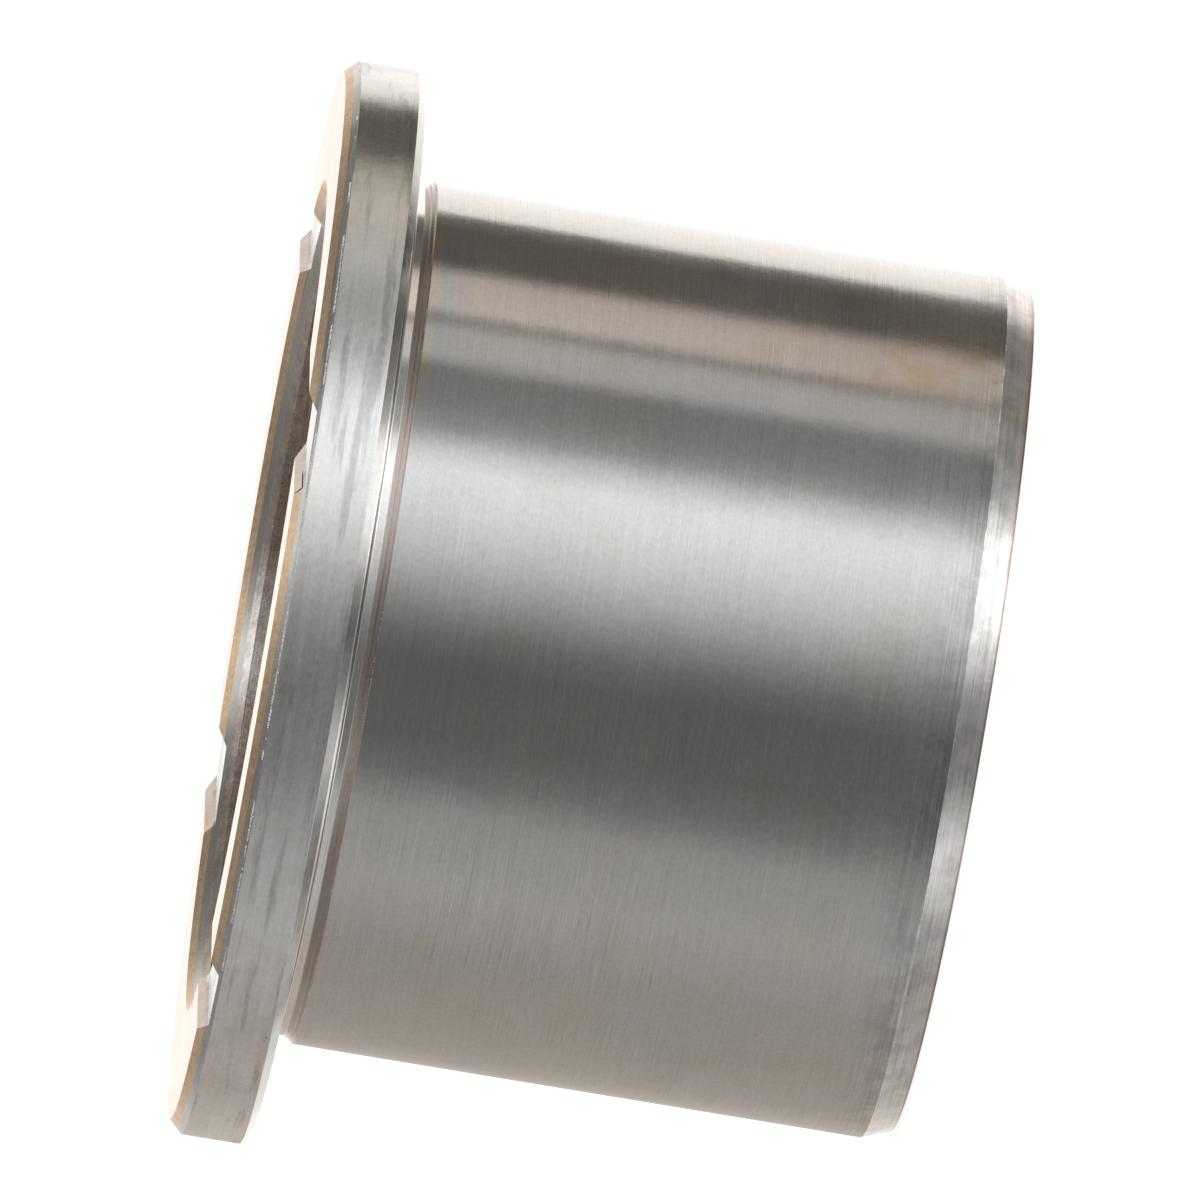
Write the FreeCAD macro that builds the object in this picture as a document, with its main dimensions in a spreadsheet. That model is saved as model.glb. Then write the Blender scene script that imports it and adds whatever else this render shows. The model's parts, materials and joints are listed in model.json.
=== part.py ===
"""Flanged bimetal bushing: a steel sleeve lined with bronze, with a flange faced with bronze.

The axis is Z. The free end of the sleeve stands on z = 0 and the thrust face is on top.
The oil grooves run parallel to Y. All sizes are millimetres.
"""
import FreeCAD, Part
import os
import Sketcher
from FreeCAD import Vector

DIMENSIONS = [
    # alias, value, what it is
    ("bore_dia", 80.0, "running bore, inside the lining"),
    ("lining_wall", 0.7, "bronze lining of the bore"),
    ("shell_wall", 3.0, "steel wall of the sleeve"),
    ("length", 71.4, "free end to thrust face"),
    ("flange_dia", 108.8, "outside of the flange"),
    ("flange_thick", 8.15, "back of the flange to thrust face"),
    ("facing_thick", 0.7, "bronze facing on the flange"),
    ("rim_chamfer", 1.35, "45 degree chamfer of the flange's front rim"),
    ("back_chamfer_drop", 1.65, "chamfer of the flange's back rim, radially"),
    ("back_chamfer_run", 0.9, "chamfer of the flange's back rim, along the axis"),
    ("mouth_chamfer", 2.1, "45 degree chamfer of the bore at the thrust face"),
    ("exit_chamfer", 0.5, "45 degree chamfer of the bore at the free end"),
    ("lead_drop", 1.1, "lead-in chamfer of the free end, radially"),
    ("lead_run", 2.9, "lead-in chamfer of the free end, along the axis"),
    ("seat_depth", 0.7, "how far the flange's seat lies under the sleeve's outside"),
    ("relief_width", 2.75, "turned relief behind the flange"),
    ("relief_ramp", 1.1, "stretch of the relief that rises to the sleeve's outside"),
    ("weld_leg", 0.9, "leg of the weld behind the flange, and of the bevel that it fills"),
    ("groove_offset", 28.7, "axis to the middle of each oil groove"),
    ("groove_mouth", 8.8, "width of an oil groove at the thrust face"),
    ("groove_floor", 6.4, "width of an oil groove at its floor"),
    ("groove_depth", 1.0, "depth of an oil groove, through the facing into the steel"),
]
DERIVED = [
    ("bore_radius", "=bore_dia / 2"),
    ("lining_radius", "=bore_radius + lining_wall"),
    ("sleeve_radius", "=lining_radius + shell_wall"),
    ("seat_radius", "=sleeve_radius - seat_depth"),
    ("flange_radius", "=flange_dia / 2"),
    ("mouth_radius", "=bore_radius + mouth_chamfer"),
    ("facing_height", "=length - facing_thick"),
    ("flange_height", "=length - flange_thick"),
    ("groove_height", "=length - groove_depth"),
]
TOLERANCE = 1e-6

doc = FreeCAD.newDocument("flanged_bushing")
dims = doc.addObject("Spreadsheet::Sheet", "dims")
for row, (alias, value, meaning) in enumerate(DIMENSIONS, start=1):
    dims.set(f"A{row}", meaning)
    dims.set(f"B{row}", str(value))
    dims.setAlias(f"B{row}", alias)
doc.recompute()
for row, (alias, formula) in enumerate(DERIVED, start=len(DIMENSIONS) + 1):
    dims.set(f"A{row}", "worked out")
    dims.set(f"B{row}", formula)
    dims.setAlias(f"B{row}", alias)
    doc.recompute()
ALIASES = sorted((entry[0] for entry in DIMENSIONS + DERIVED), key=len, reverse=True)


def bound(formula):
    """The formula with each dimension's name written as a reference to the sheet."""
    words = formula.split(" ")
    return " ".join(f"dims.{word}" if word in ALIASES else word for word in words)


def value_of(formula):
    return float(dims.evalExpression(bound(formula)))


def origin_plane(body, role):
    return next(item for item in body.Origin.OriginFeatures if item.Role == role)


def closed_outline(sketch, corners, first_point=0):
    """Draw straight lines through the corners and tie each corner to its two formulas."""
    count = len(corners)
    start = sketch.GeometryCount
    points = [Vector(value_of(across), value_of(up), 0) for across, up in corners]
    for index in range(count):
        line = Part.LineSegment(points[index], points[(index + 1) % count])
        sketch.addGeometry(line, False)
    for index in range(count):
        following = start + (index + 1) % count
        sketch.addConstraint(Sketcher.Constraint("Coincident", start + index, 2, following, 1))
    for index, (across, up) in enumerate(corners):
        for kind, formula, letter in (("DistanceX", across, "x"), ("DistanceY", up, "y")):
            line = start + index
            if formula == "0":
                axis = -1 if kind == "DistanceY" else -2
                sketch.addConstraint(Sketcher.Constraint("PointOnObject", line, 1, axis))
                continue
            size = value_of(formula)
            ends = (-1, 1, line, 1) if size > 0 else (line, 1, -1, 1)
            number = sketch.addConstraint(Sketcher.Constraint(kind, *ends, abs(size)))
            name = f"{letter}{first_point + index}"
            sketch.renameConstraint(number, name)
            sign = "" if size > 0 else "-1 * "
            sketch.setExpression(f"Constraints.{name}", f"{sign}({bound(formula)})")


def section_sketch(body, name):
    """A sketch on the body's XZ plane: across is the radius or X, and up is Z."""
    sketch = body.newObject("Sketcher::SketchObject", name)
    sketch.AttachmentSupport = (origin_plane(body, "XZ_Plane"), [""])
    sketch.MapMode = "FlatFace"
    return sketch


def turned_body(label, corners):
    """A body turned about Z from an outline of (radius, height) formulas."""
    body = doc.addObject("PartDesign::Body", label)
    body.Label = label
    body.AllowCompound = True
    sketch = section_sketch(body, f"{label}_section")
    closed_outline(sketch, corners)
    turning = body.newObject("PartDesign::Revolution", f"{label}_turning")
    turning.Profile = sketch
    turning.ReferenceAxis = (sketch, ["V_Axis"])
    turning.Angle = 360.0
    sketch.Visibility = False
    doc.recompute()
    return body


def mill_oil_grooves(body):
    """Mill the two parallel grooves right across the head of a turned body."""
    sketch = section_sketch(body, f"{body.Label}_groove_section")
    for index, side in enumerate(("", "-1 * ")):
        outer_mouth = f"{side}( groove_offset + groove_mouth / 2 )"
        outer_floor = f"{side}( groove_offset + groove_floor / 2 )"
        inner_floor = f"{side}( groove_offset - groove_floor / 2 )"
        inner_mouth = f"{side}( groove_offset - groove_mouth / 2 )"
        trapezium = [
            (outer_mouth, "length"),
            (outer_floor, "groove_height"),
            (inner_floor, "groove_height"),
            (inner_mouth, "length"),
        ]
        closed_outline(sketch, trapezium, first_point=10 * index)
    whole = body.Shape.Volume
    milling = body.newObject("PartDesign::Pocket", f"{body.Label}_oil_grooves")
    milling.Profile = sketch
    milling.Type = "ThroughAll"
    milling.Midplane = True
    sketch.Visibility = False
    doc.recompute()
    if not body.Shape.Volume < whole - TOLERANCE:
        raise RuntimeError(f"the oil grooves cut nothing from {body.Label}")


def make_sleeve_shell():
    shell = turned_body("sleeve_shell", [
        ("lining_radius", "0"),
        ("sleeve_radius - lead_drop", "0"),
        ("sleeve_radius", "lead_run"),
        ("sleeve_radius", "flange_height - relief_width"),
        ("seat_radius", "flange_height - relief_width + relief_ramp"),
        ("seat_radius", "facing_height"),
        ("mouth_radius - facing_thick", "facing_height"),
        ("lining_radius", "length - mouth_chamfer + lining_wall"),
    ])
    mill_oil_grooves(shell)
    return shell


def make_flange_ring():
    ring = turned_body("flange_ring", [
        ("seat_radius", "flange_height + weld_leg"),
        ("seat_radius + weld_leg", "flange_height"),
        ("flange_radius - back_chamfer_drop", "flange_height"),
        ("flange_radius", "flange_height + back_chamfer_run"),
        ("flange_radius", "length - rim_chamfer"),
        ("flange_radius - rim_chamfer + facing_thick", "facing_height"),
        ("seat_radius", "facing_height"),
    ])
    mill_oil_grooves(ring)
    return ring


def make_weld_bead():
    """The bead fills the bevel at the back of the ring's bore and runs down to the relief."""
    return turned_body("weld_bead", [
        ("seat_radius", "flange_height - weld_leg"),
        ("seat_radius + weld_leg", "flange_height"),
        ("seat_radius", "flange_height + weld_leg"),
    ])


def make_bore_lining():
    return turned_body("bore_lining", [
        ("bore_radius", "exit_chamfer"),
        ("bore_radius + exit_chamfer", "0"),
        ("lining_radius", "0"),
        ("lining_radius", "length - mouth_chamfer + lining_wall"),
        ("bore_radius", "length - mouth_chamfer"),
    ])


def make_thrust_pads():
    """The facing is one turned ring, and the grooves leave four pads of it."""
    facing = turned_body("thrust_facing", [
        ("mouth_radius - facing_thick", "facing_height"),
        ("flange_radius - rim_chamfer + facing_thick", "facing_height"),
        ("flange_radius - rim_chamfer", "length"),
        ("mouth_radius", "length"),
    ])
    mill_oil_grooves(facing)
    regions = [
        # low X, low Y, size along X, size along Y
        ("groove_offset", "-1 * flange_radius", "flange_radius", "2 * flange_radius"),
        ("-1 * groove_offset", "0", "2 * groove_offset", "flange_radius"),
        ("-1 * groove_offset - flange_radius", "-1 * flange_radius", "flange_radius",
         "2 * flange_radius"),
        ("-1 * groove_offset", "-1 * flange_radius", "2 * groove_offset", "flange_radius"),
    ]
    pads = []
    for number, (low_x, low_y, size_x, size_y) in enumerate(regions, start=1):
        region = doc.addObject("Part::Box", f"pad_region_{number}")
        region.setExpression("Placement.Base.x", bound(low_x))
        region.setExpression("Placement.Base.y", bound(low_y))
        region.setExpression("Placement.Base.z", bound("facing_height - facing_thick"))
        region.setExpression("Length", bound(size_x))
        region.setExpression("Width", bound(size_y))
        region.setExpression("Height", bound("3 * facing_thick"))
        pad = doc.addObject("Part::Common", f"thrust_pad_{number}")
        pad.Label = f"thrust_pad_{number}"
        pad.Base = facing
        pad.Tool = region
        pads.append(pad)
    doc.recompute()
    return pads


def check_document(sub_parts, piece_count):
    for item in doc.Objects:
        if "Invalid" in item.State or "Error" in item.State:
            raise RuntimeError(f"{item.Label} failed: {item.State}")
    for item in doc.Objects:
        if item.TypeId == "Sketcher::SketchObject" and item.solve() != 0:
            raise RuntimeError(f"{item.Label} has constraints that disagree")
    for item in sub_parts:
        if item.Shape.isNull() or not item.Shape.isValid():
            raise RuntimeError(f"{item.Label} has no valid shape")
        if len(item.Shape.Solids) != 1:
            raise RuntimeError(f"{item.Label} is {len(item.Shape.Solids)} solids, not one")
    if len(sub_parts) != piece_count:
        raise RuntimeError(f"{len(sub_parts)} pieces were made, not {piece_count}")


def main():
    sub_parts = [
        make_sleeve_shell(),
        make_flange_ring(),
        make_weld_bead(),
        make_bore_lining(),
        *make_thrust_pads(),
    ]
    doc.recompute()
    check_document(sub_parts, piece_count=8)
    os.makedirs("parts", exist_ok=True)
    for item in sub_parts:
        item.Shape.exportStep(f"parts/{item.Label}.step")
        box = item.Shape.BoundBox
        print(f"{item.Label:16s} {item.Shape.Volume:10.1f} mm3  "
              f"z {box.ZMin:.2f} to {box.ZMax:.2f}  r {box.XMax:.2f}")


main()
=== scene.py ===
import json
import math

import bmesh
import bpy
from bpy.props import FloatProperty, FloatVectorProperty, IntProperty, PointerProperty
from mathutils import Matrix, Vector


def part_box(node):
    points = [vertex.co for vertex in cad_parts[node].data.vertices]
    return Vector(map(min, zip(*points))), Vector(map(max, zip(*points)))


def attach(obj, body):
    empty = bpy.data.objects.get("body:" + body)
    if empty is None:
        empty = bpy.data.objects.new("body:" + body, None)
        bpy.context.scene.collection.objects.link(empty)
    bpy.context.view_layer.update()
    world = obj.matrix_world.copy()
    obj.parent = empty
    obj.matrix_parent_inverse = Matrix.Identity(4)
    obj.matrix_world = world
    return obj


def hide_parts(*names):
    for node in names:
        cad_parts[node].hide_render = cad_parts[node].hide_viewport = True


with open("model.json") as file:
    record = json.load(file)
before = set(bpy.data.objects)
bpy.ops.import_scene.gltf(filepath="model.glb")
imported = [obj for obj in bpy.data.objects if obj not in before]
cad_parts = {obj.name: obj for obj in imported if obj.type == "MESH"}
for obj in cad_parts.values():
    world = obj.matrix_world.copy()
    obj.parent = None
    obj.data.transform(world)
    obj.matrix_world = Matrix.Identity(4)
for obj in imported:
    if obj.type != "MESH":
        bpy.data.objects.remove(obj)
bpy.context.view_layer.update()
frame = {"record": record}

bl_info = {
    "name": "Flanged bimetal bushing",
    "version": (1, 0, 0),
    "blender": (4, 5, 0),
    "location": "View3D > Sidebar > Bushing",
    "description": "Builds a ground steel bushing with a bronze bore and a grooved bronze thrust face",
    "category": "Add Mesh",
}

MM = 0.001
SLEEVE_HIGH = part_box("sleeve_shell")[1]
FLANGE_LOW, FLANGE_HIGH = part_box("flange_ring")
WELD_LOW, WELD_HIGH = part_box("weld_bead")
LINING_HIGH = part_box("bore_lining")[1]
PAD_LOW, PAD_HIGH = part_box("thrust_pad_1")
PAD_NODES = ("thrust_pad_1", "thrust_pad_2", "thrust_pad_3", "thrust_pad_4")
PAD_NAMES = ("thrust_pad_right", "thrust_pad_far", "thrust_pad_left", "thrust_pad_near")


def bore_radius():
    for mount in frame["record"].get("mounts") or []:
        if mount.get("name") == "bore":
            return mount["dims"]["r_mm"] * MM
    raise RuntimeError("the record has no bore")


# --- sizes, finishes and studio settings ---


def length(name, description, size):
    return FloatProperty(
        name=name, description=description, default=size, precision=5, subtype="DISTANCE", unit="LENGTH")


def angle(name, description, degrees):
    return FloatProperty(
        name=name, description=description, default=math.radians(degrees), subtype="ANGLE", unit="ROTATION")


def paint(name, description, colour):
    return FloatVectorProperty(
        name=name, description=description, size=3, default=colour, min=0, max=1, subtype="COLOR")


def fraction(name, description, share):
    return FloatProperty(name=name, description=description, default=share, min=0, max=1, subtype="FACTOR")


class BushingSizes(bpy.types.PropertyGroup):
    segments: IntProperty(
        name="Segments", description="Facets round each turned piece", default=480, min=96, max=960)
    edge_round: length("Edge round", "Radius left on ground outer edges", 0.07 * MM)
    bore: length("Bore radius", "Radius of the running bore", bore_radius())
    lead_drop: length("Lead drop", "How far the lead-in chamfer steps in at the free end", 1.1 * MM)
    lead_run: length("Lead run", "Length of the lead-in chamfer along the axis", 2.9 * MM)
    relief_depth: length("Relief depth", "Depth of the grinding relief under the flange", 0.7 * MM)
    relief_width: length("Relief width", "Width of the grinding relief under the flange", 2.75 * MM)
    relief_ramp: length("Relief ramp", "Length of the sloping side of the relief", 1.1 * MM)
    back_drop: length("Back chamfer drop", "Radial size of the flange's back chamfer", 1.65 * MM)
    back_run: length("Back chamfer run", "Axial size of the flange's back chamfer", 0.9 * MM)
    rim_chamfer: length("Rim chamfer", "Front rim chamfer across steel and bronze", 1.35 * MM)
    mouth_chamfer: length("Mouth chamfer", "Chamfer of the bore at the thrust face", 2.1 * MM)
    exit_chamfer: length("Exit chamfer", "Chamfer of the bore at the free end", 0.5 * MM)
    groove_offset: length("Groove offset", "Distance of each oil groove from the axis", 28.7 * MM)
    groove_mouth: length("Groove mouth", "Width of an oil groove at the thrust face", 8.8 * MM)
    groove_floor: length("Groove floor", "Width of an oil groove at its floor", 6.4 * MM)
    groove_depth: length("Groove depth", "Depth of the oil grooves", 1.0 * MM)


class BushingFinish(bpy.types.PropertyGroup):
    ground: paint("Ground steel", "Colour of the ground sleeve", (0.59, 0.583, 0.57))
    turned: paint("Turned steel", "Colour of the turned flange", (0.775, 0.772, 0.762))
    weld: paint("Weld", "Colour of the dressed weld", (0.84, 0.83, 0.81))
    bronze: paint("Bronze", "Colour of freshly cut bronze", (1.0, 0.76, 0.52))
    tarnish: paint("Tarnish", "Colour of dulled bronze", (0.5, 0.31, 0.18))
    bore: paint("Bore", "Colour of the bore lining", (0.76, 0.7, 0.64))
    bore_dull: paint("Dull bore", "Colour of the dark film in the bore", (0.42, 0.35, 0.3))
    stain: paint("Stain", "Colour of the rust tint near the sleeve's free end", (0.52, 0.4, 0.27))
    ground_roughness: fraction("Ground roughness", "Roughness of the ground sleeve", 0.17)
    turned_roughness: fraction("Turned roughness", "Roughness of the turned flange", 0.33)
    bronze_roughness: fraction("Bronze roughness", "Roughness of the bronze", 0.34)


class BushingStudio(bpy.types.PropertyGroup):
    floor_size: length("Floor size", "Radius of the pale floor", 9.0)
    tent_level: FloatProperty(
        name="Tent level", description="Brightness of the light tent", default=1.0, min=0, max=10)
    azimuth: angle("Camera azimuth", "Camera direction round the axis", 15.83)
    elevation: angle("Camera elevation", "Camera height above the thrust face's plane", 2.96)
    lean: angle("Axis lean", "How far the axis leans off level in the view", 9.4)
    distance: length("Camera distance", "Distance from the camera to the thrust face", 2.5964)
    lens: FloatProperty(name="Focal length", description="Focal length for a 36 mm sensor", default=778.9)
    aim_along: length("Aim along axis", "How far below the thrust face the camera aims", 34.0 * MM)
    aim_across: length("Aim across axis", "How far to the side of the axis the camera aims", 5.14 * MM)


SETTINGS = {"bushing_sizes": BushingSizes, "bushing_finish": BushingFinish, "bushing_studio": BushingStudio}


# --- sizes that several pieces share ---


def sizes():
    return bpy.context.scene.bushing_sizes


def finishes():
    return bpy.context.scene.bushing_finish


def seat_radius():
    """The sleeve's radius at the floor of the relief, where the flange sits."""
    return SLEEVE_HIGH.x - sizes().relief_depth


def relief_heights():
    """Where the sloping side of the relief starts and ends along the axis."""
    low = FLANGE_LOW.z - sizes().relief_width
    return low, low + sizes().relief_ramp


def steel_rim():
    """The part of the front rim chamfer that is cut in the steel."""
    return sizes().rim_chamfer - (PAD_HIGH.z - FLANGE_HIGH.z)


def pad_foot_radius():
    """Outer radius of a pad where it meets the steel."""
    return FLANGE_HIGH.x - (sizes().rim_chamfer - (PAD_HIGH.z - PAD_LOW.z))


# --- node helpers ---


def once(store, name):
    """Runs a builder the first time it is asked for. After that, what it made is found by its name."""
    def wrap(build):
        return lambda: getattr(bpy.data, store).get(name) or build(name)
    return wrap


def feed(tree, socket, value):
    """Links a socket or sets its value. A colour may come without its alpha."""
    if isinstance(value, bpy.types.NodeSocket):
        tree.links.new(value, socket)
    elif socket.type == "RGBA" and len(value) == 3:
        socket.default_value = (*value, 1.0)
    else:
        socket.default_value = value


def add_node(tree, kind, inputs=None, **settings):
    node = tree.nodes.new(kind)
    for key, value in settings.items():
        setattr(node, key, value)
    for key, value in (inputs or {}).items():
        feed(tree, node.inputs[key], value)
    return node


def math_node(tree, operation, a, b=0.0, c=0.0, clamp=False):
    node = add_node(tree, "ShaderNodeMath", {0: a, 1: b, 2: c}, operation=operation, use_clamp=clamp)
    return node.outputs[0]


def plus(tree, a, b):
    return math_node(tree, "ADD", a, b)


def minus(tree, a, b):
    return math_node(tree, "SUBTRACT", a, b)


def times(tree, a, b):
    return math_node(tree, "MULTIPLY", a, b)


def vector_node(tree, operation, *inputs):
    node = add_node(tree, "ShaderNodeVectorMath", dict(enumerate(inputs)), operation=operation)
    return node.outputs["Value" if operation in ("LENGTH", "DOT_PRODUCT") else "Vector"]


def make_vector(tree, x, y, z):
    return add_node(tree, "ShaderNodeCombineXYZ", {0: x, 1: y, 2: z}).outputs[0]


def split_vector(tree, vector):
    return add_node(tree, "ShaderNodeSeparateXYZ", {0: vector}).outputs


def object_place(tree):
    return tree.nodes.new("ShaderNodeTexCoord").outputs["Object"]


def mix_colour(tree, factor, a, b, blend="MIX"):
    node = add_node(tree, "ShaderNodeMix", {0: factor, 6: a, 7: b}, data_type="RGBA", blend_type=blend)
    return node.outputs[2]


def map_smooth(tree, value, low, high, to_low=0.0, to_high=1.0):
    limits = {0: value, 1: low, 2: high, 3: to_low, 4: to_high}
    return add_node(tree, "ShaderNodeMapRange", limits, interpolation_type="SMOOTHSTEP").outputs[0]


def step_at(tree, value, edge, fade, before=0.0, after=1.0):
    """Changes smoothly as the value passes an edge."""
    return map_smooth(tree, value, minus(tree, edge, fade), plus(tree, edge, fade), before, after)


def direction_round(tree, x, y):
    """Angle round the axis, in radians, from the side that faces -Y."""
    return math_node(tree, "ARCTAN2", x, times(tree, y, -1.0))


def new_group(name, inputs, outputs, kind="ShaderNodeTree"):
    """A node group. An input is given with its default number, or with its socket type."""
    tree = bpy.data.node_groups.new(name, kind)
    for label, value in inputs.items():
        typed = value if isinstance(value, str) else "Float"
        socket = tree.interface.new_socket(label, in_out="INPUT", socket_type="NodeSocket" + typed)
        if typed != value:
            socket.default_value = value
    made = "NodeSocketFloat" if kind == "ShaderNodeTree" else "NodeSocketGeometry"
    for label in outputs:
        tree.interface.new_socket(label, in_out="OUTPUT", socket_type=made)
    return tree, tree.nodes.new("NodeGroupInput").outputs, tree.nodes.new("NodeGroupOutput").inputs


def use_group(tree, group, **inputs):
    node = add_node(tree, "ShaderNodeGroup", node_tree=group)
    for label, value in inputs.items():
        feed(tree, node.inputs[label.replace("_", " ")], value)
    return node.outputs


# --- shader groups that the finishes share ---


@once("node_groups", "tool_marks")
def tool_marks_group(name):
    """Fine lines that run round the axis on lands, chamfers and faces alike."""
    tree, given, result = new_group(
        name, {"Lines": 5000.0, "Run": 60.0, "Detail": 3.0}, ("Height", "Centred"))
    split = split_vector(tree, object_place(tree))
    radius = vector_node(tree, "LENGTH", make_vector(tree, split[0], split[1], 0.0))
    height_weight = 1.7
    across = minus(tree, radius, times(tree, split[2], height_weight))
    stretched = make_vector(
        tree, times(tree, split[0], given["Run"]), times(tree, split[1], given["Run"]),
        times(tree, across, given["Lines"]))
    noise = add_node(tree, "ShaderNodeTexNoise", {
        "Vector": stretched, "Scale": 1.0, "Detail": given["Detail"], "Roughness": 0.62}).outputs[0]
    tree.links.new(noise, result["Height"])
    tree.links.new(minus(tree, noise, 0.5), result["Centred"])
    return tree


@once("node_groups", "blotches")
def blotch_group(name):
    """Soft cloudy patches, as left by handling and coolant."""
    tree, given, result = new_group(
        name, {"Scale": 120.0, "Low": 0.45, "High": 0.7, "Seed": 0.0, "Stretch": 1.0},
        ("Mask", "Centred"))
    place = object_place(tree)
    stretched = vector_node(tree, "MULTIPLY", place, make_vector(tree, 1.0, 1.0, given["Stretch"]))
    moved = vector_node(tree, "ADD", stretched, given["Seed"])
    noise = add_node(tree, "ShaderNodeTexNoise", {
        "Vector": moved, "Scale": given["Scale"], "Detail": 4.0, "Roughness": 0.55}).outputs[0]
    tree.links.new(map_smooth(tree, noise, given["Low"], given["High"]), result["Mask"])
    tree.links.new(minus(tree, noise, 0.5), result["Centred"])
    return tree


@once("node_groups", "belt_mask")
def belt_group(name):
    """A mask for one belt of the part: a range of height and a range of direction round the axis."""
    tree, given, result = new_group(name, {
        "Bottom": 0.0, "Top": 0.1, "Fade": 0.001, "Direction": 0.0, "Half Angle": 4.0, "Angle Fade": 0.1,
    }, ("Mask",))
    split = split_vector(tree, object_place(tree))
    rise = step_at(tree, split[2], given["Bottom"], given["Fade"])
    fall = step_at(tree, split[2], given["Top"], given["Fade"], 1.0, 0.0)
    turn = minus(tree, direction_round(tree, split[0], split[1]), given["Direction"])
    nearest = math_node(tree, "PINGPONG", turn, math.pi)
    reach = step_at(tree, nearest, given["Half Angle"], given["Angle Fade"], 1.0, 0.0)
    tree.links.new(times(tree, times(tree, rise, fall), reach), result["Mask"])
    return tree


@once("node_groups", "specks")
def speck_group(name):
    """Small dark pits and specks, scattered over a surface."""
    tree, given, result = new_group(name, {"Scale": 900.0, "Size": 0.16, "Share": 0.25}, ("Mask",))
    place = object_place(tree)
    cells = add_node(tree, "ShaderNodeTexVoronoi", {"Vector": place, "Scale": given["Scale"]})
    half = times(tree, given["Size"], 0.5)
    dot = map_smooth(tree, cells.outputs["Distance"], half, given["Size"], 1.0, 0.0)
    pick = add_node(tree, "ShaderNodeSeparateColor", {0: cells.outputs["Color"]}).outputs[0]
    chosen = math_node(tree, "LESS_THAN", pick, given["Share"])
    tree.links.new(times(tree, dot, chosen), result["Mask"])
    return tree


def tool_marks(tree, lines, run, detail=3):
    return use_group(tree, tool_marks_group(), Lines=lines, Run=run, Detail=detail)


def blotches(tree, scale, low, high, seed, stretch=1.0):
    return use_group(tree, blotch_group(), Scale=scale, Low=low, High=high, Seed=seed, Stretch=stretch)


def belt(tree, low=0.0, high=0.1, fade=0.001, facing=0.0, half=4.0, soft=0.1):
    """Heights are in metres, directions in radians."""
    return use_group(tree, belt_group(), Bottom=low, Top=high, Fade=fade,
                     Direction=facing, Half_Angle=half, Angle_Fade=soft)["Mask"]


# --- finishes ---


def new_finish(name, **constants):
    material = bpy.data.materials.new(name)
    material.use_nodes = True
    tree = material.node_tree
    shader = tree.nodes["Principled BSDF"]
    for label, value in constants.items():
        shader.inputs[label.replace("_", " ")].default_value = value
    return material, tree, shader


def scaled(tree, *pairs):
    """Sum of values, each times its own factor."""
    total = 0.0
    for value, factor in pairs:
        total = math_node(tree, "MULTIPLY_ADD", value, factor, total)
    return total


def partly(tree, least, mask, share):
    """A share that grows from its least value where a mask says."""
    return plus(tree, least, times(tree, mask, share))


def tint(tree, colour, mask, share, other):
    """Mixes in another colour where a mask says, as strongly as the share."""
    return mix_colour(tree, times(tree, mask, share), colour, other)


def brightened(tree, colour, *pairs):
    """Lightens or darkens a colour by a share that varies over the surface."""
    share = plus(tree, scaled(tree, *pairs), 1.0)
    grey = add_node(tree, "ShaderNodeCombineColor", {0: share, 1: share, 2: share}).outputs[0]
    return mix_colour(tree, 1.0, colour, grey, "MULTIPLY")


def set_colour(tree, shader, colour):
    tree.links.new(colour, shader.inputs["Base Color"])


def set_roughness(tree, shader, middle, *pairs):
    rough = math_node(tree, "ADD", scaled(tree, *pairs), middle, clamp=True)
    tree.links.new(rough, shader.inputs["Roughness"])


def set_relief(tree, shader, *pairs):
    """Heights are in millimetres."""
    bump = add_node(tree, "ShaderNodeBump", {"Height": scaled(tree, *pairs), "Distance": MM})
    tree.links.new(bump.outputs[0], shader.inputs["Normal"])


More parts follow.
